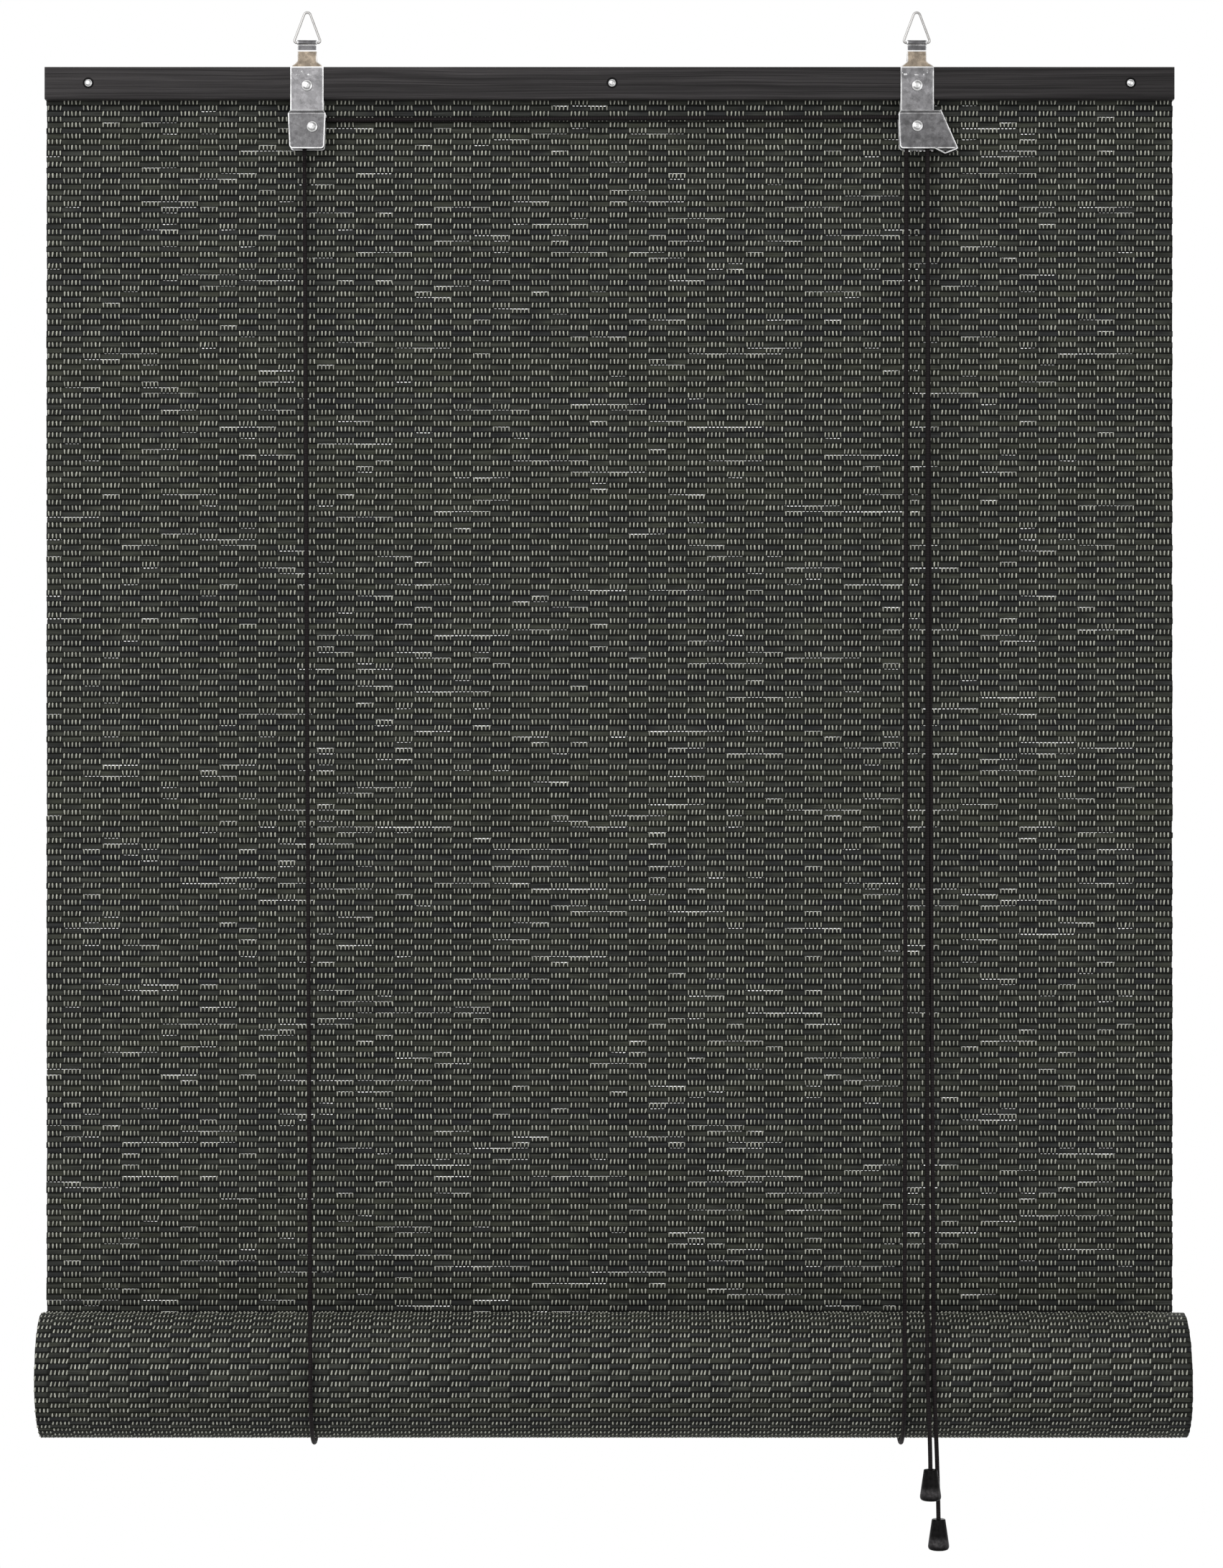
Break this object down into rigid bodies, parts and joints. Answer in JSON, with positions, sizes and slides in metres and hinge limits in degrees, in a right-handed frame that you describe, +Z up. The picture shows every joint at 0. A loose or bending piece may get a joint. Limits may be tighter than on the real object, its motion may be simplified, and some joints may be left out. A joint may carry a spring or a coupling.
{
  "type": "bamboo roll-up blind",
  "caption": "Woven bamboo roll-up blind, drawn part of the way up, with a clamped head rail, folded steel hangers, a cord lock, lift cords under the roll and bell-shaped cord pulls.",
  "frame": {"origin": "midway between the two hanging eyes, at the height where a hook bears in them, in the plane of the rings", "axes": "+X along the head rail, to the right seen from the room; +Y towards the wall; +Z up"},
  "size_m": [0.8035, 0.1164, 1.0751],
  "materials": {
    "black_lath": "black stain, satin",
    "woven_slats": "dark stain, matt, grey warp threads",
    "zinc_sheet": "galvanised, spangled",
    "zinc_wire": "bright zinc",
    "bright_rivet": "bright",
    "turned_steel": "turned, plain",
    "black_cord": "braided, matt",
    "black_pull": "satin black"
  },
  "bodies": {
    "head": {"front_batten": "black_lath", "back_batten": "black_lath", "clamp_rivets": "bright_rivet", "pulley_hanger": "zinc_sheet", "lock_hanger": "zinc_sheet", "hanger_rivets": "bright_rivet", "guide_axle": "bright_rivet", "lock_axle": "bright_rivet", "hanging_mat": "woven_slats", "cross_cord": "black_cord", "lock_turn_cord": "black_cord", "left_front_cord": "black_cord", "right_front_cord": "black_cord", "left_back_cord": "black_cord", "right_back_cord": "black_cord", "left_top_knot": "black_cord", "right_top_knot": "black_cord", "upper_pull_lead": "black_cord", "lower_pull_lead": "black_cord"},
    "left_ring": {"left_ring": "zinc_wire"},
    "right_ring": {"right_ring": "zinc_wire"},
    "guide_pulley": {"guide_pulley": "turned_steel"},
    "lock_pulley": {"lock_pulley": "turned_steel"},
    "lock_roller": {"lock_roller": "turned_steel"},
    "slings": {"left_sling": "black_cord", "right_sling": "black_cord"},
    "roll": {"rolled_mat": "woven_slats", "bottom_batten": "black_lath"},
    "upper_pull": {"upper_pull": "black_pull", "upper_pull_knot": "black_cord", "upper_pull_tail": "black_cord"},
    "lower_pull": {"lower_pull": "black_pull", "lower_pull_knot": "black_cord", "lower_pull_tail": "black_cord"}
  },
  "joints": [
    {"name": "roll_lift", "type": "slide", "parent": "head", "child": "slings", "axis": [0, 0, 1], "range_m": [0, 0.8049], "deforming": ["hanging_mat", "left_front_cord", "right_front_cord", "upper_pull_lead", "lower_pull_lead", "left_back_cord", "right_back_cord"]},
    {"name": "roll_turn", "type": "hinge", "parent": "slings", "child": "roll", "pos_m": [0, -0.0389, -0.9582], "axis": [1, 0, 0], "range_deg": [-1081, 0]},
    {"name": "upper_pull_drop", "type": "slide", "parent": "slings", "child": "upper_pull", "axis": [0, 0, -1], "range_m": [0, 2.4157], "deforming": ["upper_pull_tail"]},
    {"name": "lower_pull_drop", "type": "slide", "parent": "slings", "child": "lower_pull", "axis": [0, 0, -1], "range_m": [0, 2.4157], "deforming": ["lower_pull_tail"]},
    {"name": "guide_pulley_spin", "type": "hinge", "parent": "head", "child": "guide_pulley", "pos_m": [-0.2121, 0, -0.081], "axis": [0, 1, 0], "continuous": true},
    {"name": "lock_pulley_spin", "type": "hinge", "parent": "head", "child": "lock_pulley", "pos_m": [0.216, 0, -0.0804], "axis": [0, 1, 0], "continuous": true},
    {"name": "lock_roller_drop", "type": "slide", "parent": "head", "child": "lock_roller", "axis": [0.4036, 0, -0.9149], "range_m": [0, 0.018]},
    {"name": "left_ring_swing", "type": "hinge", "parent": "head", "child": "left_ring", "pos_m": [-0.216, 0, -0.0205], "axis": [1, 0, 0], "range_deg": [-115, 150]},
    {"name": "right_ring_swing", "type": "hinge", "parent": "head", "child": "right_ring", "pos_m": [0.216, 0, -0.0205], "axis": [1, 0, 0], "range_deg": [-115, 150]}
  ],
  "couplings": [
    {"joint": "roll_turn", "follows": "roll_lift", "rad_per_m": -23.419},
    {"joint": "upper_pull_drop", "follows": "roll_lift", "ratio": 3},
    {"joint": "lower_pull_drop", "follows": "roll_lift", "ratio": 3},
    {"joint": "guide_pulley_spin", "follows": "roll_lift", "rad_per_m": 333.33},
    {"joint": "lock_pulley_spin", "follows": "roll_lift", "rad_per_m": 266.67}
  ]
}
